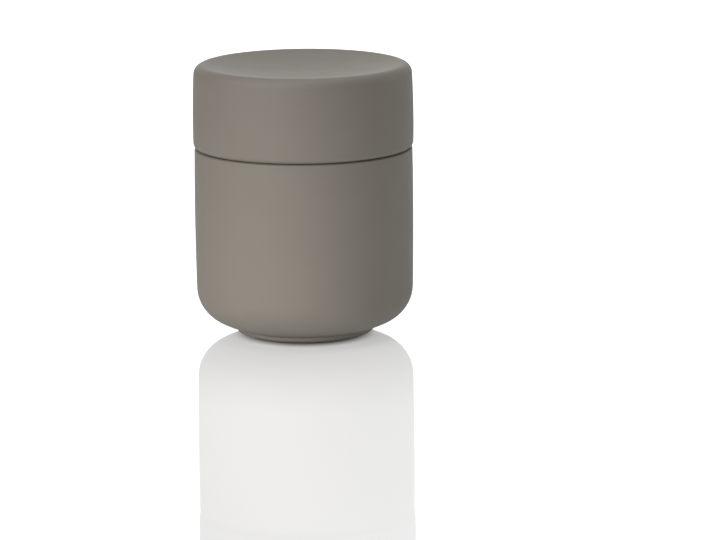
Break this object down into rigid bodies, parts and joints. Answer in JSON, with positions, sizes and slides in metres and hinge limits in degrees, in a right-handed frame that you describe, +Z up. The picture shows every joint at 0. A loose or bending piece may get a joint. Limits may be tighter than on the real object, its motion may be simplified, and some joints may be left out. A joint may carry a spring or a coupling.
{
  "type": "lidded jar",
  "caption": "Round stoneware storage jar on a low foot ring, with a tall hollow lid, dished on top, that lifts off and is sealed by a soft ring round its collar.",
  "frame": {"origin": "middle of the foot ring, on the surface that the jar stands on", "axes": "+Z up along the jar's axis of revolution; +X to the right and +Y to the back of the pictured view"},
  "size_m": [0.0822, 0.0822, 0.101],
  "materials": {
    "jar_stoneware": "soft-touch matte coat in warm grey, glazed inside, bare clay under the foot ring",
    "lid_stoneware": "soft-touch matte coat in warm grey, glazed inside its hollow",
    "seal_silicone": "matte moulded silicone in dark grey"
  },
  "bodies": {
    "jar": {"jar_body": "jar_stoneware"},
    "seal": {"seal_ring": "seal_silicone"},
    "lid": {"lid": "lid_stoneware"}
  },
  "joints": [
    {"name": "lid_lift", "type": "slide", "parent": "jar", "child": "seal", "axis": [0, 0, 1], "range_m": [0, 0.12]},
    {"name": "lid_turn", "type": "hinge", "parent": "seal", "child": "lid", "pos_m": [0, 0, 0.07], "axis": [0, 0, 1], "continuous": true}
  ]
}
